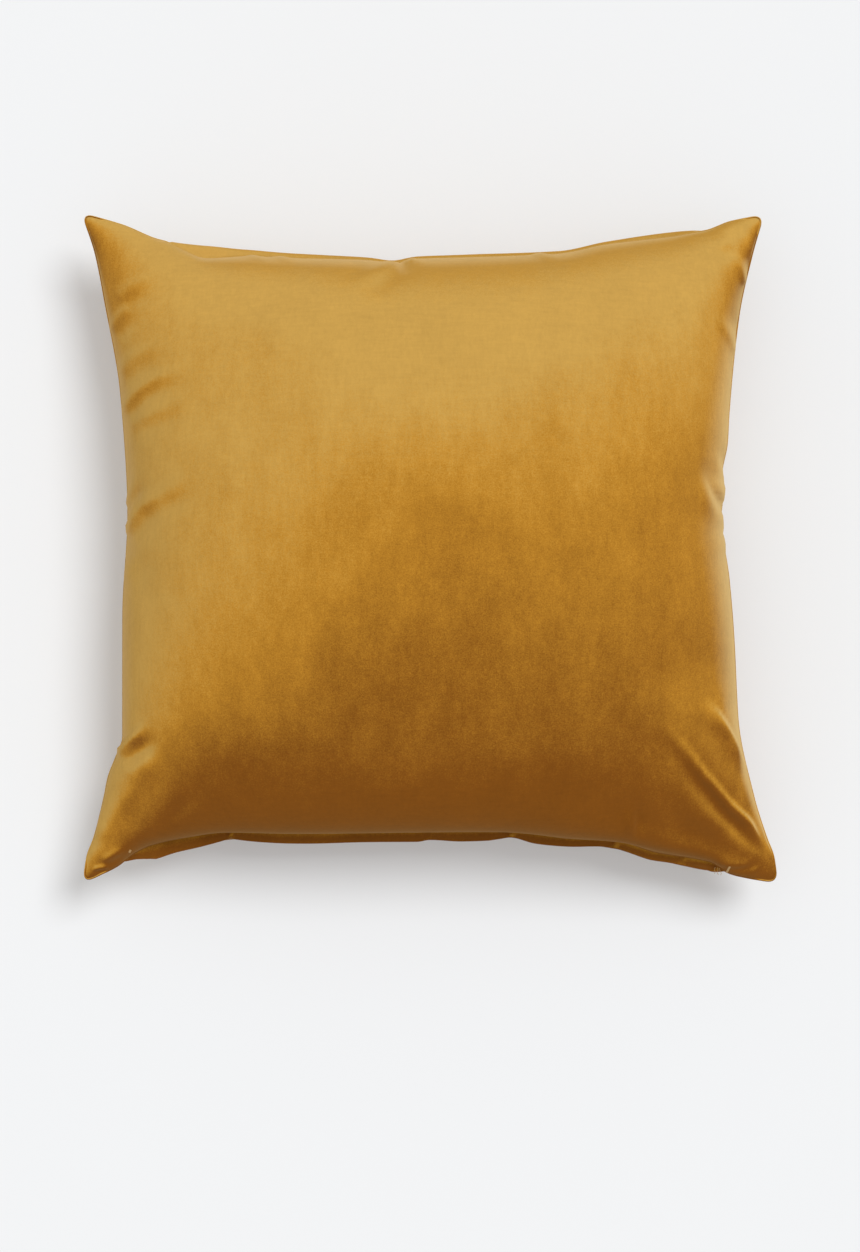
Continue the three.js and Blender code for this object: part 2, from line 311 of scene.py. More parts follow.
@dataclass(frozen=True)
class Fold:
    """A soft ridge of the face along a path from the seam inwards, in millimetres.

    rise is its height and hollow the depth beside it. shade is the half width of the flank on the hollow's
    side, and light that of the other flank. start and fade are the shares of the path over which it
    grows at the seam and dies out at its inner end.
    """

    path: tuple[tuple[float, float], ...]
    rise: float
    shade: float
    light: float
    hollow: float
    hand: Hand
    fade: float = 0.6
    start: float = 0.1

    STEPS = 24
    HOLLOW_OFFSET = 2.2
    HOLLOW_WIDTH = 1.2
    REACH = 3.5

    def line(self) -> np.ndarray:
        """Rounds the path's corners.

        Returns:
            Points along a smooth curve through the path's own points.
        """
        points = np.array(self.path)
        step = np.linalg.norm(np.diff(points, axis=0), axis=1)
        along = np.concatenate([[0.0], np.cumsum(step)])
        where = np.linspace(0, along[-1], self.STEPS + 1)
        slope = np.gradient(points, along, axis=0)
        i = np.clip(np.searchsorted(along, where, side="right") - 1, 0, len(along) - 2)
        s = ((where - along[i]) / step[i])[:, None]
        return cubic((points[i], points[i + 1]), (slope[i], slope[i + 1]), s, step[i][:, None])

    def lift(self, points: Grid) -> np.ndarray:
        """Finds how far the fold lifts or sinks the face.

        Args:
            points: Points of the face, in millimetres.

        Returns:
            The height to add at each point.
        """
        line = self.line()
        lift = np.zeros(points.shape[:-1])
        margin = self.REACH * (self.shade + self.light)
        plan = points[..., :2]
        near = np.all((plan > line.min(0) - margin) & (plan < line.max(0) + margin), axis=-1)
        here = plan[near][:, None]
        run = np.diff(line, axis=0)
        share = np.clip(np.sum((here - line[:-1]) * run, -1) / np.sum(run * run, -1), 0, 1)
        offset = here - (line[:-1] + share[..., None] * run)
        distance = np.linalg.norm(offset, axis=-1)
        nearest = np.argmin(distance, axis=1)
        pick = np.arange(len(nearest))
        turn = run[nearest, 0] * offset[pick, nearest, 1] - run[nearest, 1] * offset[pick, nearest, 0]
        aside = distance[pick, nearest] * np.sign(turn) * self.hand.value
        along = (nearest + share[pick, nearest]) / len(run)
        width = np.where(aside > 0, self.shade, self.light)
        ridge = self.rise * np.exp(-((aside / width) ** 2))
        beside = (aside - self.HOLLOW_OFFSET * self.shade) / (self.HOLLOW_WIDTH * self.shade)
        hollow = self.hollow * np.exp(-(beside**2))
        ends = smooth_step(0, self.start, along) * smooth_step(0, self.fade, 1 - along)
        lift[near] = (ridge - hollow) * ends
        return lift


@dataclass(frozen=True)
class WrinkledPlace:
    """A round place on the face that keeps the wrinkles of the filling, in millimetres."""

    x: float
    y: float
    reach: float
    share: float

    def kept(self, points: Grid) -> np.ndarray:
        """The share of the wrinkles that stays at each point."""
        away = np.hypot(points[..., 0] - self.x, points[..., 1] - self.y)
        return self.share * np.exp(-((away / self.reach) ** 2))


def points_of(mesh: bpy.types.Mesh) -> np.ndarray:
    """Reads the points of a mesh, in metres."""
    points = np.empty(len(mesh.vertices) * 3, np.float32)
    mesh.vertices.foreach_get("co", points)
    return points.reshape(-1, 3).astype(float)


@dataclass(frozen=True)
class Filling:
    """How hard the filling swells the two flat panels, in the units of Blender's cloth."""

    pressure: float = 62.0
    panel_mass: float = 0.01
    stretch: float = 30.0
    shear: float = 10.0
    bend: float = 5.0
    damping: float = 5.0
    bend_damping: float = 0.5
    air: float = 1.0
    quality: int = 5
    frames: int = 26
    drawn_in_by: int = 13

    def swell(self, flat: np.ndarray, drawn: np.ndarray, faces: np.ndarray, held: np.ndarray) -> np.ndarray:
        """Fills the cover while its seam is drawn in.

        Args:
            flat: The points of both empty panels, in metres.
            drawn: The same points with the seam in its final place.
            faces: Four point numbers for each face.
            held: The numbers of the points on the seam.

        Returns:
            The points of the filled cover, in metres.
        """
        scene = bpy.context.scene
        mesh = bpy.data.meshes.new("panels")
        mesh.from_pydata(flat.tolist(), [], faces.tolist())
        panels = bpy.data.objects.new("panels", mesh)
        scene.collection.objects.link(panels)
        panels.shape_key_add(name="flat")
        key = panels.shape_key_add(name="drawn in")
        key.data.foreach_set("co", drawn.ravel())
        for frame_number, value in ((1, 0.0), (self.drawn_in_by, 1.0)):
            key.value = value
            key.keyframe_insert("value", frame=frame_number)
        panels.vertex_groups.new(name="seam").add(held.tolist(), 1.0, "ADD")
        cloth = panels.modifiers.new("filling", "CLOTH")
        settings = cloth.settings
        settings.quality = self.quality
        settings.mass = self.panel_mass
        settings.air_damping = self.air
        settings.bending_model = "ANGULAR"
        settings.tension_stiffness = settings.compression_stiffness = self.stretch
        settings.shear_stiffness = self.shear
        settings.bending_stiffness = self.bend
        settings.tension_damping = settings.compression_damping = settings.shear_damping = self.damping
        settings.bending_damping = self.bend_damping
        settings.vertex_group_mass = "seam"
        settings.pin_stiffness = 1.0
        settings.use_pressure = True
        settings.uniform_pressure_force = self.pressure
        settings.effector_weights.gravity = 0.0
        cloth.collision_settings.use_collision = False
        cloth.point_cache.frame_end = self.frames
        for frame_number in range(1, self.frames + 1):
            scene.frame_set(frame_number)
        filled = panels.evaluated_get(bpy.context.evaluated_depsgraph_get())
        points = points_of(filled.data)
        bpy.data.objects.remove(panels)
        bpy.data.meshes.remove(mesh)
        scene.frame_set(1)
        return points


def resample(grid: Grid, places: np.ndarray) -> Grid:
    """Reads a grid at finer places, on a smooth surface through its outer lines.

    Args:
        grid: Points in rows.
        places: Where the new lines run, counted in the grid's own lines, the same both ways.

    Returns:
        The finer grid.
    """
    for axis in (0, 1):
        lines = np.moveaxis(grid, axis, 0)
        wide = np.concatenate([(2 * lines[0] - lines[1])[None], lines, (2 * lines[-1] - lines[-2])[None]])
        i = np.clip(places.astype(int), 0, len(lines) - 2)
        f = (places - i).reshape(-1, 1, 1)
        cube, square = f**3, f**2
        shares = ((1 - f) ** 3, 3 * cube - 6 * square + 4, -3 * cube + 3 * square + 3 * f + 1, cube)
        finer = sum(share * wide[i + k] for k, share in enumerate(shares)) / 6
        grid = np.moveaxis(finer, 0, axis)
    return grid


def crowd(even: np.ndarray, crowding: float) -> np.ndarray:
    """Moves evenly spaced shares towards 0 and 1, not at all at a crowding of 0 and hard near 1."""
    return even - crowding * np.sin(2 * np.pi * even) / (2 * np.pi)


def soften(grid: Grid, rounds: int) -> Grid:
    """Evens out a grid, apart from its outer lines.

    Args:
        grid: Points in rows.
        rounds: How many times each point moves towards its neighbours.

    Returns:
        The evened grid.
    """
    even = grid.copy()
    for _ in range(rounds):
        around = even[:-2, 1:-1] + even[2:, 1:-1] + even[1:-1, :-2] + even[1:-1, 2:]
        even[1:-1, 1:-1] = 0.5 * even[1:-1, 1:-1] + around / 8
    return even


def grid_normals(grid: Grid) -> Grid:
    """Finds which way each point faces, in a grid whose rows run along +X in the order of +Y."""
    return unit(np.cross(np.gradient(grid, axis=1), np.gradient(grid, axis=0)))


def ring(grid: Grid) -> np.ndarray:
    """Goes once round the outer line of a grid of points or numbers, anticlockwise."""
    return np.concatenate([grid[0, :-1], grid[:-1, -1], grid[-1, :0:-1], grid[:0:-1, 0]])


def cells_of(numbers: np.ndarray) -> np.ndarray:
    """Makes a face of every cell of a grid of point numbers, anticlockwise from above."""
    corners = [numbers[:-1, :-1], numbers[:-1, 1:], numbers[1:, 1:], numbers[1:, :-1]]
    return np.stack(corners, -1).reshape(-1, 4)


def make_object(
    name: str, points: np.ndarray, faces: Sequence, finish: bpy.types.Material, edges: Sequence = ()
) -> bpy.types.Object:
    """Makes a smooth mesh object at the origin.

    Args:
        name: The name of the piece.
        points: Its points, in metres.
        faces: The point numbers of each face.
        finish: The material.
        edges: The point numbers of each edge that has no face.

    Returns:
        The new object.
    """
    mesh = bpy.data.meshes.new(name)
    mesh.from_pydata(points.tolist(), list(edges), [list(face) for face in faces])
    mesh.shade_smooth()
    mesh.materials.append(finish)
    piece = bpy.data.objects.new(name, mesh)
    bpy.context.scene.collection.objects.link(piece)
    return piece


@dataclass(frozen=True)
class Bench:
    """Adds nodes to a tree and joins them."""

    tree: bpy.types.NodeTree

    def add(self, kind: str, sockets: dict[Any, Any] | None = None, **settings: Any) -> Any:
        """Adds one node.

        Args:
            kind: The node's type.
            sockets: A value or a Wire for each input, by name or number.
            settings: Its properties, set before its sockets.

        Returns:
            The node.
        """
        node = self.tree.nodes.new(kind)
        for name, value in settings.items():
            setattr(node, name, value)
        for key, value in (sockets or {}).items():
            if isinstance(value, Wire):
                self.tree.links.new(value.socket, node.inputs[key])
            else:
                node.inputs[key].default_value = value
        return node

    def wire(
        self, kind: str, sockets: dict[Any, Any] | None = None, output: str | int = 0, **settings: Any
    ) -> Wire:
        """Adds one node and takes one of its outputs, by name or number."""
        return Wire(self, self.add(kind, sockets, **settings).outputs[output])

    def math(self, operation: str, *values: Any) -> Wire:
        """Adds a Math node on the values."""
        return self.wire("ShaderNodeMath", dict(enumerate(values)), operation=operation)

    def vector(self, operation: str, *values: Any, output: str | int = 0) -> Wire:
        """Adds a Vector Math node on the values."""
        return self.wire("ShaderNodeVectorMath", dict(enumerate(values)), output, operation=operation)

    def point(self, x: Any = 0.0, y: Any = 0.0, z: Any = 0.0) -> Wire:
        """Joins three values into a vector."""
        return self.wire("ShaderNodeCombineXYZ", {0: x, 1: y, 2: z})

    def scaled(self, place: Any, scale: tuple[float, float, float]) -> Wire:
        """Scales the coordinates along each axis."""
        return self.wire("ShaderNodeMapping", {"Vector": place, "Scale": scale})

    def colour(self, share: Any, low: Any, high: Any) -> Wire:
        """Mixes two colours, with that share of the second one."""
        return self.wire("ShaderNodeMix", {"Factor": share, 6: low, 7: high}, 2, data_type="RGBA")

    def between(self, value: Any, low: float, high: float) -> Wire:
        """Turns a value into a smooth share, from 0 at low to 1 at high."""
        sockets = {"Value": value, "From Min": low, "From Max": high}
        return self.wire("ShaderNodeMapRange", sockets, interpolation_type="SMOOTHSTEP")

    def noise(self, where: Any, scale: float, detail: float = 2.0, roughness: float = 0.5) -> Wire:
        """Adds a noise of about -0.5 to 0.5. Its scale is in repeats a metre."""
        sockets = {"Vector": where, "Scale": scale, "Detail": detail, "Roughness": roughness}
        return self.wire("ShaderNodeTexNoise", sockets) - 0.5


@dataclass(frozen=True)
class Wire:
    """A value that flows from a node's output. Arithmetic on it adds Math nodes."""

    bench: Bench
    socket: Any

    def __add__(self, other: Any) -> Wire:
        """Adds."""
        return self.bench.math("ADD", self, other)

    def __sub__(self, other: Any) -> Wire:
        """Takes away."""
        return self.bench.math("SUBTRACT", self, other)

    def __mul__(self, other: Any) -> Wire:
        """Multiplies."""
        return self.bench.math("MULTIPLY", self, other)


def make_material(name: str, feed: Callable[[Bench], dict[str, Any]]) -> bpy.types.Material:
    """Builds a material of one shader.

    Args:
        name: Its name.
        feed: Adds the nodes before the shader and gives what each of its inputs takes.

    Returns:
        The material.
    """
    material = bpy.data.materials.new(name)
    material.use_nodes = True
    material.node_tree.nodes.clear()
    bench = Bench(material.node_tree)
    shader = bench.wire("ShaderNodeBsdfPrincipled", feed(bench))
    bench.add("ShaderNodeOutputMaterial", {"Surface": shader})
    return material


Colour = tuple[float, float, float, float]
Range = tuple[float, float]


@dataclass(frozen=True)
class BrushedPlace:
    """An oval place where the pile is brushed more or less upright, in millimetres."""

    x: float
    y: float
    across: float
    along: float
    turned_by: float

    def turn(self, bench: Bench, place: Wire) -> Wire:
        """Adds nodes for how far the pile is turned.

        Args:
            bench: The material's bench.
            place: The coordinates, in metres.

        Returns:
            The amount to add to the painted light and tone, 0 outside the place.
        """
        shrink = (1 / (self.across * MM), 1 / (self.along * MM), 0.0)
        middle = (-self.x / self.across, -self.y / self.along, 0.0)
        offset = bench.vector("MULTIPLY_ADD", place, shrink, middle)
        away = bench.vector("LENGTH", offset, output="Value")
        return bench.between(away, 1.0, 0.0) * self.turned_by


@dataclass(frozen=True)
class Velvet:
    """Cut velvet whose pile leans to +Y and a little to -X.

    Its colour paints light and shade by which way the cloth faces: painted shade where the cloth faces
    against the lean, painted light where it faces along it, and painted shade again where the top edge
    turns away, standing in for how the leaning pile catches the light. The ranges say between which values
    one colour gives way to the next: the first three of the painted light and tone, which is how far the
    cloth faces along the lean plus its random tone, and the rims of how steeply it faces the top, the right
    or the left, where painted sheen pales the edges.
    """

    name: str = "velvet"
    brushed: tuple[BrushedPlace, ...] = ()
    # Colours that paint light and shade onto the velvet by which way the cloth faces: painted shade where it
    # faces away from lean, middle on the flat of the face, pale for painted light where it faces along lean,
    # turned for painted shade where the top edge curves away.
    painted_shade: Colour = (0.185, 0.058, 0.004, 1.0)
    middle: Colour = (0.462, 0.209, 0.0195, 1.0)
    pale: Colour = (0.485, 0.277, 0.06, 1.0)
    turned: Colour = (0.42, 0.212, 0.03, 1.0)
    # Painted sheen: paler, greyer colours where the cloth turns steeply to the top, the right or the left.
    painted_sheen: Colour = (0.54, 0.33, 0.115, 1.0)
    painted_rim_sheen: Colour = (0.6, 0.4, 0.16, 1.0)
    painted_shade_to_middle: Range = (-0.45, 0.07)
    middle_to_painted_light: Range = (-0.1, 0.24)
    painted_light_to_turned: Range = (0.45, 0.8)
    # How steeply the cloth must face the top, the right or the left to get painted sheen.
    top_rim: Range = (0.84, 1.0)
    right_rim: Range = (0.7, 1.04)
    left_rim: Range = (-0.8, -1.05)
    lean: tuple[float, float, float] = (-0.27, 0.9, 0.0)
    topward: tuple[float, float, float] = (0.0, 1.0, 0.0)
    rightward: tuple[float, float, float] = (1.0, 0.15, 0.0)
    sheen: float = 0.2
    sheen_roughness: float = 0.5
    sheen_tint: Colour = (1.0, 0.75, 0.3, 1.0)
    roughness: float = 0.85
    roughness_change: float = 0.08
    gloss: float = 0.05
    pile: float = 1100.0
    pile_depth: float = 0.00025
    pile_strength: float = 0.3
    bump_strength: float = 0.5
    tufts: float = 330.0
    tuft_height: float = 0.8
    mottle: float = 32.0
    mottle_strength: float = 0.36
    mottle_light: float = 0.18
    tone_strength: float = 0.32
    threads: float = 420.0
    thread_stretch: float = 0.14
    marks: float = 8.0
    mark_stretch: float = 0.5
    mark_strength: float = 0.11

    def material(self) -> bpy.types.Material:
        """Builds the material."""
        return make_material(self.name, self.feed)

    def feed(self, bench: Bench) -> dict[str, Any]:
        """Adds the nodes for the pile.

        Args:
            bench: The material's bench.

        Returns:
            What each input of the shader takes.
        """
        place = bench.wire("ShaderNodeTexCoord", output="Object")
        brushed = bench.scaled(place, (1.0, self.mark_stretch, 1.0))
        facing = bench.wire("ShaderNodeNewGeometry", output="Normal")
        lean, topward, rightward = (
            bench.vector("DOT_PRODUCT", facing, way, output="Value")
            for way in (self.lean, self.topward, self.rightward)
        )
        broad = bench.noise(brushed, self.marks, detail=1.0)
        small = bench.noise(brushed, self.mottle, detail=7.0, roughness=0.84)
        fine = bench.noise(place, self.pile, detail=1.0)
        painted_light_and_tone = lean + broad * self.mark_strength + small * self.mottle_strength + fine * self.pile_strength
        for patch in self.brushed:
            painted_light_and_tone = painted_light_and_tone + patch.turn(bench, place)
        # Painted shade and painted light by which way the cloth faces, with its random tone, then painted
        # sheen at the top, right and left edges.
        colour = self.painted_shade
        for value, limits, next_colour in (
            (painted_light_and_tone, self.painted_shade_to_middle, self.middle),
            (painted_light_and_tone, self.middle_to_painted_light, self.pale),
            (painted_light_and_tone, self.painted_light_to_turned, self.turned),
            (topward, self.top_rim, self.painted_sheen),
            (rightward, self.right_rim, self.painted_rim_sheen),
            (rightward, self.left_rim, self.painted_sheen),
        ):
            colour = bench.colour(bench.between(value, *limits), colour, next_colour)
        warp = bench.scaled(place, (1.0, self.thread_stretch, 1.0))
        weft = bench.scaled(place, (self.thread_stretch, 1.0, 1.0))
        warp, weft = (bench.noise(way, self.threads, detail=3.0, roughness=0.7) for way in (warp, weft))
        light = (warp + weft) * self.mottle_light + small * self.tone_strength + 1.0
        height = fine + bench.noise(place, self.tufts) * self.tuft_height
        bump = {"Strength": self.bump_strength, "Distance": self.pile_depth, "Height": height}
        return {
            "Base Color": bench.wire("ShaderNodeVectorMath", {0: colour, "Scale": light}, operation="SCALE"),
            "Roughness": small * self.roughness_change + self.roughness,
            "Normal": bench.wire("ShaderNodeBump", bump),
            "Sheen Weight": self.sheen,
            "Sheen Roughness": self.sheen_roughness,
            "Sheen Tint": self.sheen_tint,
            "Specular IOR Level": self.gloss,
        }


@dataclass
class FilledCover:
    """The front and back panels with the filling between them, as one closed form, in millimetres.

    opening is the part of the bottom side that isn't sewn. plumped says how many times higher the face
    stands over the seam than the simulation leaves it. The folds are held down where the face is less
    than held_by_seam over the seam, and the back starts to flatten at the height of landing.
    """

    seam: Seam
    folds: tuple[Fold, ...]
    wrinkled: tuple[WrinkledPlace, ...]
    filling: Filling
    velvet: Velvet
    opening: tuple[float, float] = (0.07, 0.918)
    tuck: float = 2.4
    tuck_ends: float = 0.03
    tuck_reach: float = 60.0
    panel: float = 500.0
    cells: int = 80
    crowding: float = 0.3
    fine_cells: int = 192
    fine_crowding: float = 0.62
    crown: float = 88.0
    plumped: float = 1.142
    start_crown: float = 6.0
    roundness: float = 2.2
    steepness: float = 0.62
    held_by_seam: float = 4.5
    roll_reach: float = 9.0
    roll_fade: float = 60.0
    roll_past: float = 1.3
    landing: float = 6.0
    calming: int = 200
    back_calming: int = 2
    name: str = "cushion"

    ROLL_ROUNDS = 12
    # The turned seam: how far out and up from its line, from the face round to the back.
    SEAM_SECTION = (
        (-0.6, 1.5), (0.1, 1.2), (0.4, 0.65), (0.15, 0.2), (-0.6, 0.0), (0.15, -0.2), (0.4, -0.65),
        (0.1, -1.2), (-0.6, -1.5),
    )

    def shares(self) -> np.ndarray:
        """The lines of the simulated grid, as shares of the way across."""
        return crowd(np.linspace(0, 1, self.cells + 1), self.crowding)

    def fine_shares(self) -> np.ndarray:
        """The lines of the finished grid, as shares of the way across."""
        return crowd(np.linspace(0, 1, self.fine_cells + 1), self.fine_crowding)

    def crowned(self, level: Grid, shares: np.ndarray, crown: float) -> tuple[Grid, Grid]:
        """Lifts the face and lowers the back by a smooth crown.

        Args:
            level: The grid at the height of the seam.
            shares: The grid's lines.
            crown: The lift in the middle.

        Returns:
            The face and the back.
        """
        across = (1 - np.abs(2 * shares - 1) ** self.roundness) ** self.steepness
        rise = np.zeros_like(level)
        rise[..., 2] = crown * across[None] * across[:, None]
        return level + rise, level - rise

    def filled(self) -> tuple[Grid, Grid]:
        """Swells the empty panels, starting from a slight crown.

        Returns:
            The face and the back, in millimetres.
        """
        shares = self.shares()
        drawn = self.seam.level(shares)
        across = (shares - 0.5) * self.panel
        level = np.stack(np.broadcast_arrays(across[None], across[:, None], self.seam.bottom.seam_height), -1)
        face, back = self.crowned(level, shares, self.start_crown)
        count = self.cells + 1
        numbers = np.arange(count * count).reshape(count, count)
        inner = np.zeros((count, count), bool)
        inner[1:-1, 1:-1] = True
        below = numbers.copy()
        below[inner] = count * count + np.arange(inner.sum())
        flat = np.concatenate([face.reshape(-1, 3), back[inner]]) * MM
        held = ring(numbers)
        target = flat.copy()
        target[held] = drawn.reshape(-1, 3)[held] * MM
        faces = np.concatenate([cells_of(numbers), cells_of(below)[:, ::-1]])
        points = self.filling.swell(flat, target, faces, held) / MM
        return points[numbers], points[below]

    def calmed(self, wrinkles: Grid, level: Grid) -> Grid:
        """Evens out the wrinkles of the filling, apart from the places that keep them.

        Args:
            wrinkles: How far each point of the face is from a plain crowned face.
            level: The grid at the height of the seam.

        Returns:
            The calmer differences.
        """
        even = soften(wrinkles, self.calming)
        kept = np.clip(sum(place.kept(level) for place in self.wrinkled), 0, 1)
        return even + kept[..., None] * (wrinkles - even)

    def refined(self, face: Grid, back: Grid) -> tuple[Grid, Grid]:
        """Carries the filled shape over to the fine grid, on the exact line of the seam.

        Args:
            face: The face on the simulated grid.
            back: The back on the same grid.

        Returns:
            The face and the back on the fine grid.
        """
        coarse, fine = self.shares(), self.fine_shares()
        places = np.interp(fine, coarse, np.arange(len(coarse)))
        coarse_level, fine_level = self.seam.level(coarse), self.seam.level(fine)
        plain_face, plain_back = self.crowned(coarse_level, coarse, self.crown)
        fine_face, fine_back = self.crowned(fine_level, fine, self.crown)
        fine_face += resample(self.calmed(face - plain_face, coarse_level), places)
        fine_face[..., 2] += (self.plumped - 1) * (fine_face[..., 2] - fine_level[..., 2])
        fine_back += resample(soften(back - plain_back, self.back_calming), places)
        return fine_face, fine_back

    def pressed(self, back: Grid) -> Grid:
        """Flattens the back where it rests, with a soft edge to the flat part.

        Args:
            back: The free back, in millimetres.

        Returns:
            The back with nothing below the surface.
        """
        height = back[..., 2]
        soft = (height + self.landing) ** 2 / (4 * self.landing)
        height = np.where(height < -self.landing, 0.0, np.where(height < self.landing, soft, height))
        return np.concatenate([back[..., :2], height[..., None]], -1)

    def rolled(self, back: Grid) -> Grid:
        """Swells the back outwards past the seam of the top side, where it shows from above.

        Args:
            back: The back, in millimetres.

        Returns:
            The back with its roll.
        """
        side = self.seam.top
        shares = self.fine_shares()
        from_seam = (1 - shares) * self.panel
        swell = smooth_step(0, self.roll_reach, from_seam)
        swell *= 1 - smooth_step(self.roll_reach, self.roll_fade, from_seam)
        inset = (back - back[-1:]) @ side.inward()
        rolled = read_rows(side.rolled, shares)
        wanted = rolled + np.minimum(rolled, self.roll_past)
        push = wanted.copy()
        for _ in range(self.ROLL_ROUNDS):
            push += wanted - (push * swell[:, None] - inset).max(axis=0)
        return back - side.inward() * (push * swell[:, None])[..., None]

    def tucked(self, back: Grid) -> Grid:
        """Draws the back in under the front's fold, along the opening.

        Args:
            back: The back, in millimetres.

        Returns:
            The back with room for the lip under the fold.
        """
        shares = self.fine_shares()
        start, end = self.opening
        opened = smooth_step(start - self.tuck_ends, start, shares)
        opened *= 1 - smooth_step(end, end + self.tuck_ends, shares)
        near = 1 - smooth_step(0, self.tuck_reach, shares * self.panel)
        amount = self.tuck * near[:, None] * opened[None]
        return back + self.seam.bottom.inward() * amount[..., None]

    def folded(self, face: Grid) -> Grid:
        """Adds the folds to the face.

        Args:
            face: The filled face, in millimetres.

        Returns:
            The face with its folds.
        """
        lift = sum(fold.lift(face) for fold in self.folds)
        level = self.seam.level(self.fine_shares())
        free = smooth_step(0, self.held_by_seam, face[..., 2] - level[..., 2])
        return face + grid_normals(face) * (lift * free)[..., None]

    def closed(self, face: Grid, back: Grid) -> tuple[np.ndarray, np.ndarray]:
        """Joins the face and the back by the turned seam.

        Args:
            face: The face, in millimetres.
            back: The back, with the same outer line.

        Returns:
            The points and faces of the whole cover.
        """
        outer, lower = ring(face), ring(back)
        along = np.roll(outer, -1, axis=0) - np.roll(outer, 1, axis=0)
        outward = outward_of(along)
        count = face.shape[0] * face.shape[1]
        top = np.arange(count).reshape(face.shape[:2])
        under = top + count
        rows = []
        for out, up in self.SEAM_SECTION:
            line = outer if up >= 0 else lower
            rows.append(line + out * outward + np.array([0, 0, up]))
        face, back = face.copy(), back.copy()
        for grid, row in ((face, rows[0]), (back, rows[-1])):
            flat = grid.reshape(-1, 3)
            flat[ring(top)] = row
        points = np.concatenate([face.reshape(-1, 3), back.reshape(-1, 3)] + rows[1:-1])
        between = 2 * count + np.arange(len(outer) * (len(rows) - 2)).reshape(len(rows) - 2, -1)
        numbers = [ring(top), *between, ring(under)]
        faces = [cells_of(top), cells_of(under)[:, ::-1]]
        for here, next_row in zip(numbers[:-1], numbers[1:]):
            faces.append(np.stack([next_row, np.roll(next_row, -1), np.roll(here, -1), here], -1))
        return points, np.concatenate(faces)

    def build(self) -> bpy.types.Object:
        """Returns:
            The piece.
        """
        face, back = self.refined(*self.filled())
        face, back = self.folded(face), self.tucked(self.rolled(self.pressed(back)))
        points, faces = self.closed(face, back)
        piece = make_object(self.name, points * MM, faces, self.velvet.material())
        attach(piece, "root")
        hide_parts("filled_cover")
        return piece


@dataclass
class OpeningLip:
    """The folded lower edge of the back panel, which shows outside the front's own fold, in millimetres.

    width gives how far it shows at shares of the way along the bottom side. Each pucker has its share,
    its reach and its depth, where a depth below 0 lifts the lip instead.
    """

    seam: Seam
    velvet: Velvet
    start: float = 0.056
    end: float = 0.926
    stations: int = 520
    name: str = "folded_lip"
    width: Rows = (
        (0.056, -0.8), (0.066, 2.9), (0.078, 6.4), (0.086, 8.7), (0.1, 11), (0.13, 9.9), (0.16, 9.2),
        (0.19, 8), (0.209, 6.1), (0.213, 4.9), (0.219, 6.3), (0.26, 7.8), (0.33, 8.3), (0.4, 7.9),
        (0.48, 8.2), (0.499, 6.9), (0.545, 8.2), (0.581, 7.7), (0.6, 6.4), (0.617, 5.1), (0.653, 7.4),
        (0.7, 6.4), (0.743, 5.3), (0.766, 6.3), (0.786, 6.7), (0.815, 6.7), (0.843, 6.2), (0.866, 7),
        (0.886, 7.4), (0.909, 6.3), (0.926, -0.8),
    )
    tucked_in: float = 1.5
    top: float = -2.0
    slope: float = 0.36
    thickness: float = 2.0
    bulge: float = 0.8
    full_bulge_from: float = 8.0
    puckers: tuple[tuple[float, float, float], ...] = (
        (0.2125, 0.004, 1.5), (0.499, 0.006, 0.8), (0.617, 0.006, 1.6), (0.766, 0.006, 1.4),
        (0.8, 0.012, -0.5), (0.862, 0.006, 0.9), (0.888, 0.016, -1.0), (0.913, 0.004, 1.0),
    )

    ACROSS = 6
    TURN = 6

    def section(self, width: float, sunk: float) -> list[tuple[float, float]]:
        """The cut through the lip, from its lower inner corner, out and up.

        Args:
            width: How far the lip shows outside the front's fold.
            sunk: How far its middle is pulled down.

        Returns:
            Pairs of a distance outwards and a height over the seam.
        """
        reach = width + self.tucked_in
        half = self.thickness / 2
        bulge = self.bulge * min(reach / self.full_bulge_from, 1) - sunk
        points = [(-self.tucked_in, self.top - self.thickness)]
        for k in range(self.ACROSS):
            share = k / self.ACROSS
            height = self.top - self.slope * share * reach + bulge * math.sin(math.pi * share)
            points.append((share * (reach - half) - self.tucked_in, height))
        middle = self.top - self.slope * reach - half
        for k in range(self.TURN + 1):
            angle = math.pi / 2 - math.pi * k / self.TURN
            points.append((width - half + half * math.cos(angle), middle + half * math.sin(angle)))
        return points

    def build(self) -> bpy.types.Object:
        """Returns:
            The piece.
        """
        shares = np.linspace(self.start, self.end, self.stations)
        line = self.seam.side(self.seam.bottom, shares)
        outward = outward_of(np.gradient(line, axis=0))
        widths = read_rows(self.width, shares)
        sunk = sum(depth * np.exp(-(((shares - place) / reach) ** 2)) for place, reach, depth in self.puckers)
        rows = []
        for point, out_way, width, low in zip(line, outward, widths, sunk):
            section = self.section(width, low)
            rows.append([point + out * out_way + np.array([0, 0, up]) for out, up in section])
        points = np.array(rows)
        stations, count = points.shape[:2]
        numbers = np.arange(stations * count).reshape(stations, count)
        here, there = numbers[:-1], numbers[1:]
        skin = np.stack([here, np.roll(here, -1, 1), np.roll(there, -1, 1), there], -1).reshape(-1, 4)
        faces = [*skin.tolist(), numbers[0][::-1].tolist(), numbers[-1].tolist()]
        piece = make_object(self.name, points.reshape(-1, 3) * MM, faces, self.velvet.material())
        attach(piece, "root")
        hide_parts("opening_lip")
        return piece


@dataclass(frozen=True)
class Thread:
    """Pale sewing thread."""

    name: str = "thread"
    light: Colour = (0.5, 0.33, 0.14, 1.0)
    dark: Colour = (0.4, 0.22, 0.06, 1.0)
    tones: Range = (-0.2, 0.2)
    roughness: float = 0.6
    twist: float = 900.0

    def material(self) -> bpy.types.Material:
        """Builds the material."""
        return make_material(self.name, self.feed)

    def feed(self, bench: Bench) -> dict[str, Any]:
        """Adds the nodes for the two tones of the twist.

        Args:
            bench: The material's bench.

        Returns:
            What each input of the shader takes.
        """
        place = bench.wire("ShaderNodeTexCoord", output="Object")
        tone = bench.between(bench.noise(place, self.twist), *self.tones)
        return {"Base Color": bench.colour(tone, self.dark, self.light), "Roughness": self.roughness}


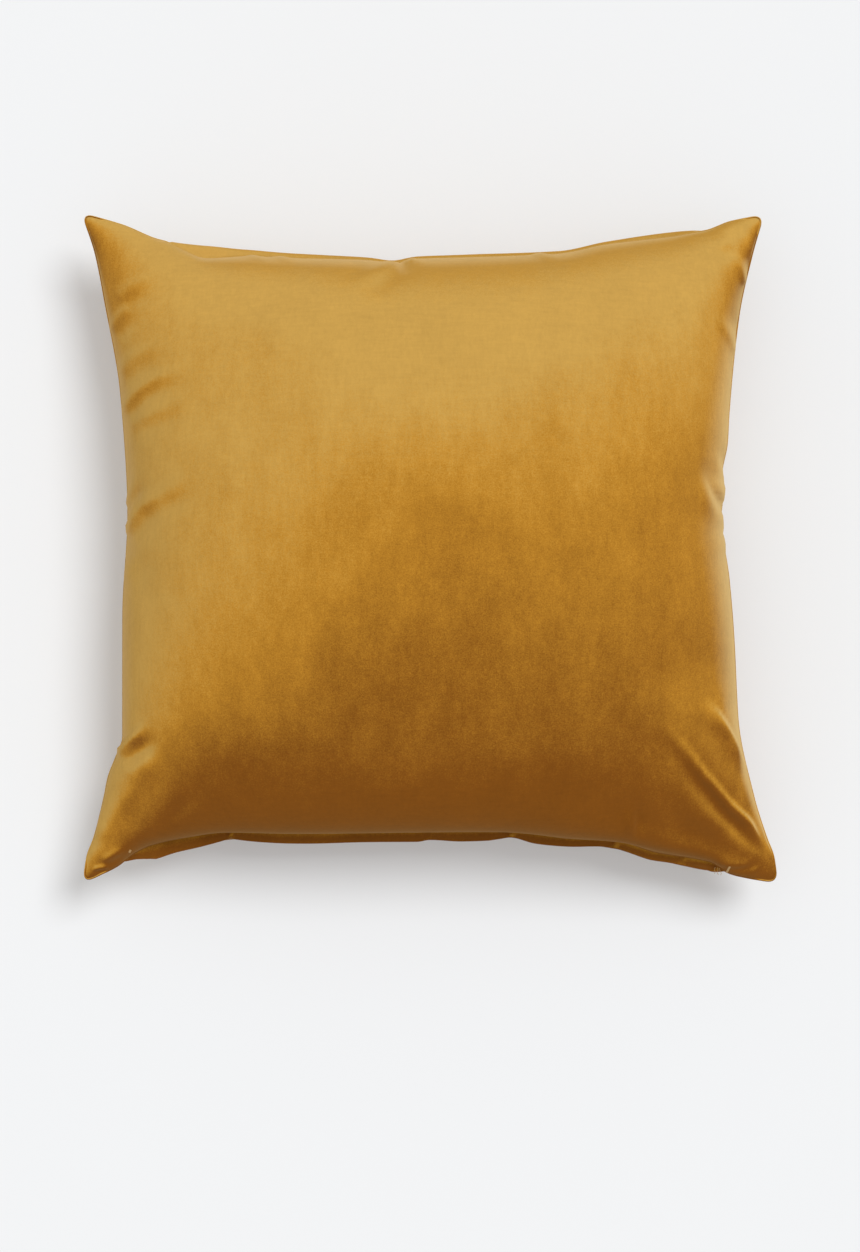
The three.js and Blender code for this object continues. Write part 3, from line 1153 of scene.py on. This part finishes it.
class SewingTree:
    """A tree of Geometry Nodes with named inputs, run on an object and baked into its mesh."""

    def __init__(self, name: str, inputs: dict[str, tuple[str, Any]]) -> None:
        """Starts the tree.

        Args:
            name: Its name.
            inputs: The socket type and the value of each named input.
        """
        self.tree = bpy.data.node_groups.new(name, "GeometryNodeTree")
        self.values = {}
        sockets = self.tree.interface
        for way in ("INPUT", "OUTPUT"):
            sockets.new_socket(name="Geometry", in_out=way, socket_type="NodeSocketGeometry")
        for label, (kind, value) in inputs.items():
            socket = sockets.new_socket(name=label, in_out="INPUT", socket_type=kind)
            self.values[socket.identifier] = value
        self.bench = Bench(self.tree)
        self.given = self.bench.add("NodeGroupInput")

    def input(self, label: str) -> Wire:
        """Takes one of the named inputs."""
        return Wire(self.bench, self.given.outputs[label])

    def tube(self, curve: Wire, radius: Wire, sides: int) -> Wire:
        """Lays a thread along a curve.

        Args:
            curve: The curve.
            radius: The radius of the thread.
            sides: How many sides it has.

        Returns:
            The thread's mesh.
        """
        round_sockets = {"Resolution": sides, "Radius": radius}
        profile = self.bench.wire("GeometryNodeCurvePrimitiveCircle", round_sockets, mode="RADIUS")
        sockets = {"Curve": curve, "Profile Curve": profile, "Fill Caps": True}
        return self.bench.wire("GeometryNodeCurveToMesh", sockets)

    def end(self, geometry: Wire) -> None:
        """Realizes the instances, sets the material and ends the tree.

        Args:
            geometry: What the tree has made.
        """
        real = self.bench.wire("GeometryNodeRealizeInstances", {0: geometry})
        sockets = {"Geometry": real, "Material": self.input("Material")}
        dressed = self.bench.wire("GeometryNodeSetMaterial", sockets)
        self.bench.add("NodeGroupOutput", {0: dressed})

    def run(self, source: bpy.types.Object) -> np.ndarray:
        """Runs the tree on an object and puts the result in its place as a plain mesh.

        Args:
            source: The object to run it on.

        Returns:
            The points of the result.
        """
        modifier = source.modifiers.new(self.tree.name, "NODES")
        modifier.node_group = self.tree
        for identifier, value in self.values.items():
            modifier[identifier] = value
        seen = source.evaluated_get(bpy.context.evaluated_depsgraph_get())
        mesh = bpy.data.meshes.new_from_object(seen)
        source.modifiers.remove(modifier)
        source.data = mesh
        mesh.name = source.name
        mesh.shade_smooth()
        return points_of(mesh)


def surface_below(pieces: Sequence[bpy.types.Object]) -> Callable[[float, float], float]:
    """Finds the height of the cloth under any point.

    Args:
        pieces: The cloth.

    Returns:
        A function of x and y, in metres, that gives the highest cloth there.
    """
    graph = bpy.context.evaluated_depsgraph_get()
    trees = [BVHTree.FromObject(piece, graph) for piece in pieces]
    down = Vector((0, 0, -1))

    def height(x: float, y: float) -> float:
        """The highest cloth at a point, in metres."""
        hits = [tree.ray_cast(Vector((x, y, ABOVE_ALL)), down)[0] for tree in trees]
        return max((hit.z for hit in hits if hit), default=SEAM.bottom.seam_height * MM)

    return height


@dataclass(frozen=True)
class BarTack:
    """A short bar of close stitches across an end of the opening, in millimetres and degrees."""

    name: str
    x: float
    y: float
    turned: float
    length: float
    width: float
    stitches: int
    thread_radius: float = 0.26
    unevenness: float = 0.16
    seed: int = 5

    # The heights of a stitch's middle and of its ends, in radii of the thread.
    LOOP_HEIGHT = 2.5
    LOOP_DIP = -0.5
    SIDES = 8

    def tree(self, thread: bpy.types.Material) -> SewingTree:
        """Builds the tree that repeats the stitch along the bar.

        Args:
            thread: The material.

        Returns:
            The tree.
        """
        sewing = SewingTree(
            self.name,
            {
                "Length": ("NodeSocketFloat", self.length * MM),
                "Half Width": ("NodeSocketFloat", self.width * MM / 2),
                "Stitches": ("NodeSocketInt", self.stitches),
                "Thread Radius": ("NodeSocketFloat", self.thread_radius * MM),
                "Unevenness": ("NodeSocketFloat", self.unevenness),
                "Seed": ("NodeSocketInt", self.seed),
                "Material": ("NodeSocketMaterial", thread),
            },
        )
        bench = sewing.bench
        along = sewing.input("Length") * 0.5
        ends = {"Start Location": bench.point(x=along * -1.0), "Offset": bench.point(x=along)}
        sockets = {"Count": sewing.input("Stitches"), **ends}
        places = bench.wire("GeometryNodeMeshLine", sockets, mode="END_POINTS")
        across, radius = sewing.input("Half Width"), sewing.input("Thread Radius")
        dip = radius * self.LOOP_DIP
        sockets = {
            "Resolution": self.SIDES,
            "Start": bench.point(y=across * -1.0, z=dip),
            "Middle": bench.point(z=radius * self.LOOP_HEIGHT),
            "End": bench.point(y=across, z=dip),
        }
        loop = sewing.tube(bench.wire("GeometryNodeCurveQuadraticBezier", sockets), radius, self.SIDES)
        uneven = sewing.input("Unevenness")
        limits = {0: bench.point(z=uneven * -1.0), 1: bench.point(z=uneven), "Seed": sewing.input("Seed")}
        turn = bench.wire("FunctionNodeRandomValue", limits, data_type="FLOAT_VECTOR")
        sockets = {"Points": places, "Instance": loop, "Rotation": turn}
        sewing.end(bench.wire("GeometryNodeInstanceOnPoints", sockets))
        return sewing

    def build(self, thread: bpy.types.Material, height: Callable[[float, float], float]) -> bpy.types.Object:
        """Sews the bar onto the cloth.

        Args:
            thread: The material.
            height: The height of the cloth at x and y.

        Returns:
            The piece.
        """
        piece = make_object(self.name, np.zeros((1, 3)), [], thread)
        points = self.tree(thread).run(piece)
        turn = math.radians(self.turned)
        for vertex, (x, y, z) in zip(piece.data.vertices, points):
            there_x = self.x * MM + x * math.cos(turn) - y * math.sin(turn)
            there_y = self.y * MM + x * math.sin(turn) + y * math.cos(turn)
            vertex.co = (there_x, there_y, height(there_x, there_y) + z)
        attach(piece, "root")
        return piece


@dataclass(frozen=True)
class ThreadEnds:
    """The few frayed ends of thread beside the right bar tack, in millimetres."""

    paths: tuple[tuple[tuple[float, float, float], ...], ...]
    name: str = "thread_ends"
    radius: float = 0.17
    points_each: int = 14

    SIDES = 6

    def build(self, thread: bpy.types.Material) -> bpy.types.Object:
        """Makes a fine tube along each path.

        Args:
            thread: The material.

        Returns:
            The piece.
        """
        points, edges = [], []
        for path in self.paths:
            first = len(points)
            points += path
            edges += [(first + k, first + k + 1) for k in range(len(path) - 1)]
        piece = make_object(self.name, np.array(points) * MM, [], thread, edges)
        sewing = SewingTree(
            self.name,
            {
                "Points Each": ("NodeSocketInt", self.points_each),
                "Thread Radius": ("NodeSocketFloat", self.radius * MM),
                "Material": ("NodeSocketMaterial", thread),
            },
        )
        bench = sewing.bench
        lines = bench.wire("GeometryNodeMeshToCurve", {0: sewing.input("Geometry")})
        spline = bench.wire("GeometryNodeCurveSplineType", {0: lines}, spline_type="CATMULL_ROM")
        sockets = {"Curve": spline, "Count": sewing.input("Points Each")}
        even = bench.wire("GeometryNodeResampleCurve", sockets)
        sewing.end(sewing.tube(even, sewing.input("Thread Radius"), self.SIDES))
        sewing.run(piece)
        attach(piece, "root")
        return piece


@dataclass(frozen=True)
class SoftLight:
    """A broad far light, from the direction of its azimuth from +X and its elevation, in degrees."""

    name: str
    azimuth: float
    elevation: float
    strength: float
    spread: float
    colour: tuple[float, float, float] = (1.0, 1.0, 1.0)

    def hang(self) -> None:
        """Adds the light to the scene."""
        lamp = bpy.data.lights.new(self.name, "SUN")
        lamp.energy = self.strength
        lamp.angle = math.radians(self.spread)
        lamp.color = self.colour
        light = bpy.data.objects.new(self.name, lamp)
        azimuth, elevation = math.radians(self.azimuth), math.radians(self.elevation)
        level = math.cos(elevation)
        light.location = (level * math.cos(azimuth), level * math.sin(azimuth), math.sin(elevation))
        light.rotation_euler = (-light.location).to_track_quat("-Z", "Y").to_euler()
        bpy.context.scene.collection.objects.link(light)


@dataclass(frozen=True)
class Studio:
    """The pale floor, the soft light and the camera straight above the seam, in metres."""

    lights: tuple[SoftLight, ...]
    floor_tone: Colour = (0.6, 0.6, 0.6, 1.0)
    floor_glow: float = 0.18
    surround: float = 0.54
    surround_lean: tuple[float, float, float] = (-0.3, -0.25, 0.0)
    surround_colour: Colour = (1.0, 1.0, 1.0, 1.0)
    floor_size: float = 12.0
    camera_height: float = 2.4
    seam_height: float = SEAM.bottom.seam_height * MM
    middle_x: float = -0.0004
    middle_y: float = -0.0559
    framed_height: float = 0.8977
    sensor: float = 36.0

    def lay_floor(self) -> None:
        """Adds the floor."""
        finish = {
            "Base Color": self.floor_tone,
            "Roughness": 1.0,
            "Specular IOR Level": 0.0,
            "Emission Color": (1.0, 1.0, 1.0, 1.0),
            "Emission Strength": self.floor_glow,
        }
        half = self.floor_size / 2
        corners = np.array([(-half, -half, 0), (half, -half, 0), (half, half, 0), (-half, half, 0)], float)
        floor = make_object("floor", corners, [(0, 1, 2, 3)], make_material("floor", lambda bench: finish))

    def set_surround(self) -> None:
        """Lights the scene softly from all round, and more from -X and -Y."""
        world = bpy.data.worlds.new("studio")
        world.use_nodes = True
        world.node_tree.nodes.clear()
        bench = Bench(world.node_tree)
        way = bench.wire("ShaderNodeTexCoord", output="Generated")
        lean = bench.vector("DOT_PRODUCT", way, self.surround_lean, output="Value")
        sockets = {"Color": self.surround_colour, "Strength": (lean + 1.0) * self.surround}
        background = bench.wire("ShaderNodeBackground", sockets)
        bench.add("ShaderNodeOutputWorld", {"Surface": background})
        bpy.context.scene.world = world

    def set_camera(self) -> None:
        """Adds the camera, which looks straight down."""
        lens = bpy.data.cameras.new("camera")
        lens.sensor_width = self.sensor
        lens.lens = self.sensor * self.camera_height / self.framed_height
        camera = bpy.data.objects.new("camera", lens)
        camera.location = (self.middle_x, self.middle_y, self.seam_height + self.camera_height)
        bpy.context.scene.collection.objects.link(camera)
        bpy.context.scene.camera = camera

    def build(self) -> None:
        """Sets up the whole studio."""
        self.lay_floor()
        self.set_surround()
        for light in self.lights:
            light.hang()
        self.set_camera()
        bpy.context.scene.view_settings.view_transform = "Standard"


# Each fold: its path, rise, shade, light, hollow, hand, fade and start.
FOLDS = (
    # Lower right corner
    Fold(
        ((239, -216), (233, -206), (226, -195), (214, -184), (200, -168), (191, -158), (182, -146),
         (173, -135.5), (164, -126), (156, -117)),
        2.9, 3.9, 2.4, 1.2, Hand.LEFT, 0.5, 0.2,
    ),
    Fold(
        ((227, -164), (223.5, -155), (219, -146), (213, -134), (205, -122), (198, -113.5), (190, -106)),
        2.6, 5.5, 1.8, 0.9, Hand.LEFT, 0.4, 0.35,
    ),
    Fold(
        ((212, -208), (196, -189), (179, -169), (163, -150), (151, -136)),
        1.8, 8, 8, 0.9, Hand.LEFT, 0.5, 0.3,
    ),
    Fold(((143, -208), (142, -194), (141, -179)), 2.2, 2.4, 2.6, 1.6, Hand.RIGHT, 0.6, 0.4),
    Fold(((203, -225), (213, -227), (222, -227), (232, -225)), 0.5, 1.8, 4, 0.7, Hand.RIGHT, 0.3, 0.3),
    Fold(((229, -234), (233, -231), (237, -227)), 0.4, 1.8, 2.4, 0.3, Hand.LEFT, 0.5, 0.4),
    # Lower left corner
    Fold(
        ((-226, -148), (-217, -140), (-206, -130), (-199, -123)),
        2.8, 5, 1.5, 2.4, Hand.RIGHT, 0.5, 0.2,
    ),
    Fold(((-221, -159), (-208, -154), (-187, -150)), 1.5, 9, 6, 0, Hand.RIGHT, 0.6, 0.3),
    Fold(
        ((-238, -213), (-228, -192), (-214, -172), (-198, -154), (-184, -146)),
        1.3, 7, 10, 0.6, Hand.RIGHT, 0.7, 0.15,
    ),
    Fold(((-201, -209), (-184, -193), (-170, -179), (-150, -160)), -1, 6, 9, 0, Hand.RIGHT, 0.7, 0.4),
    Fold(((-236, -225), (-226, -219), (-219, -214)), 1.2, 2.5, 3, 1, Hand.RIGHT, 0.4, 0.3),
    Fold(((-243, -231), (-238, -229.5), (-230, -228.5)), 1.2, 1.5, 1.8, 1.2, Hand.RIGHT, 0.3, 0.3),
    # Left side
    Fold(
        ((-218, 9), (-213, 19), (-208, 27), (-199, 33), (-172, 41)),
        2.6, 5.5, 2.4, 1.2, Hand.RIGHT, 0.7,
    ),
    Fold(((-218, 29), (-215, 37), (-207, 52)), 1.3, 3.5, 1.8, 0.6, Hand.RIGHT, 0.7),
    Fold(((-219, -23), (-214, -13), (-196, 4)), 1, 5.5, 3, 0.5, Hand.RIGHT, 0.8),
    Fold(((-194, 36), (-180, 42), (-165, 47)), 0.5, 5, 6, 0.7, Hand.RIGHT, 0.5, 0.5),
    # Upper left
    Fold(((-223, 176), (-214, 184), (-190, 193)), 0.6, 5, 4.5, 0.6, Hand.RIGHT, 0.7),
    Fold(((-230, 154), (-225, 161), (-203, 176)), 0.7, 4.5, 3.2, 0.6, Hand.RIGHT, 0.7),
    Fold(((-223, 123), (-213, 133), (-183, 143)), 0.7, 5, 4, 0.6, Hand.RIGHT, 0.7),
    Fold(
        ((-221, 95), (-214, 105), (-203, 114), (-188, 120), (-166, 124)),
        1.5, 4.5, 3.2, 1, Hand.RIGHT, 0.7,
    ),
    Fold(((-219, 79), (-208, 90), (-190, 96), (-162, 105)), 0.7, 4.5, 4, 0.6, Hand.RIGHT, 0.6, 0.3),
    # Upper right
    Fold(((226, 188), (220, 201), (211, 217)), 0.9, 4, 3, 0.9, Hand.RIGHT, 0.7),
    Fold(((219, 139), (212, 151), (199, 165)), 0.8, 4.5, 3, 0.6, Hand.RIGHT, 0.7),
    Fold(((200, 221), (209, 218), (219, 219)), 0.8, 4, 4, 0.9, Hand.RIGHT, 0.5, 0.5),
    # Right side
    Fold(((212, 40), (208.5, 50), (205, 59), (201, 68)), 1.5, 5, 1.8, 0.5, Hand.LEFT, 0.6),
    Fold(((214, 33), (206, 41), (195, 46)), 1.8, 4.5, 4, 0.8, Hand.LEFT, 0.6),
    Fold(((214, 12), (205, 25), (198, 34), (193, 43), (188, 52)), 1.8, 8, 2, 0.3, Hand.LEFT, 0.6),
    Fold(((214, -1), (209, 7), (203, 14)), 1.4, 8, 1.8, 0, Hand.LEFT, 0.7),
    # Top edge
    Fold(((-25, 211), (-32, 200), (-46, 189), (-61, 180)), 1.3, 5, 4, 1.1, Hand.LEFT, 0.7, 0.04),
    Fold(((-20, 211), (-12, 204), (-2, 201)), 1.3, 4, 3, 1, Hand.RIGHT, 0.7, 0.04),
    Fold(((71, 214), (79, 209), (90, 201)), 1.6, 4, 2.8, 1.1, Hand.LEFT, 0.7, 0.04),
    Fold(((-134, 214), (-127, 209), (-117, 202)), 1.3, 4, 3, 0.9, Hand.LEFT, 0.7, 0.04),
    Fold(((-114, 212), (-104, 206), (-94, 202)), 1.3, 4, 3, 0.9, Hand.LEFT, 0.7, 0.04),
)

WRINKLED = (
    WrinkledPlace(185, -165, 75, 0.35),
    WrinkledPlace(-195, 10, 40, 0.25),
    WrinkledPlace(205, 30, 40, 0.08),
)

BRUSHED = (
    BrushedPlace(10, 0, 170, 190, -0.06),
    BrushedPlace(20, -15, 90, 100, -0.04),
    BrushedPlace(-165, -165, 130, 55, -0.12),
    BrushedPlace(60, -180, 190, 45, -0.07),
    BrushedPlace(205, 110, 80, 150, 0.19),
    BrushedPlace(-225, 215, 100, 90, -0.3),
    BrushedPlace(-150, 150, 130, 90, -0.13),
    BrushedPlace(-60, -105, 200, 90, -0.04),
    BrushedPlace(182, -112, 60, 50, 0.09),
    BrushedPlace(20, 110, 130, 60, 0.04),
)

TACKS = (
    BarTack("tack_left", -215, -217, turned=60, length=1.9, width=1.1, stitches=5),
    BarTack("tack_right", 213.5, -230.5, turned=70, length=4.6, width=1.3, stitches=11),
)

LOOSE_ENDS = ThreadEnds(
    (
        ((204.5, -229, 56.5), (204, -231, 56), (204.6, -232.6, 55), (204.2, -234, 54)),
        ((206, -229.4, 56.5), (206.6, -231.4, 56), (206, -233, 55), (207, -234.6, 54)),
        ((207.5, -229.8, 56.5), (208, -231.8, 56), (209, -233.6, 55), (208.6, -235, 54)),
    )
)

STUDIO = Studio(
    lights=(
        SoftLight("key", azimuth=45, elevation=57, strength=2.15, spread=26, colour=(0.97, 1.0, 1.03)),
        SoftLight("overhead", azimuth=80, elevation=75, strength=0.35, spread=80),
    )
)


def main() -> None:
    """Builds the cushion and its studio."""
    logging.basicConfig(level=logging.INFO, format="%(name)s: %(message)s")
    velvet = Velvet(brushed=BRUSHED)
    cloth = [
        FilledCover(SEAM, FOLDS, WRINKLED, Filling(), velvet).build(),
        OpeningLip(SEAM, velvet).build(),
    ]
    thread = Thread().material()
    height = surface_below(cloth)
    pieces = cloth + [tack.build(thread, height) for tack in TACKS] + [LOOSE_ENDS.build(thread)]
    for piece in pieces:
        LOG.info("%s: %d points", piece.name, len(piece.data.vertices))
    STUDIO.build()


if __name__ == "__main__":
    main()
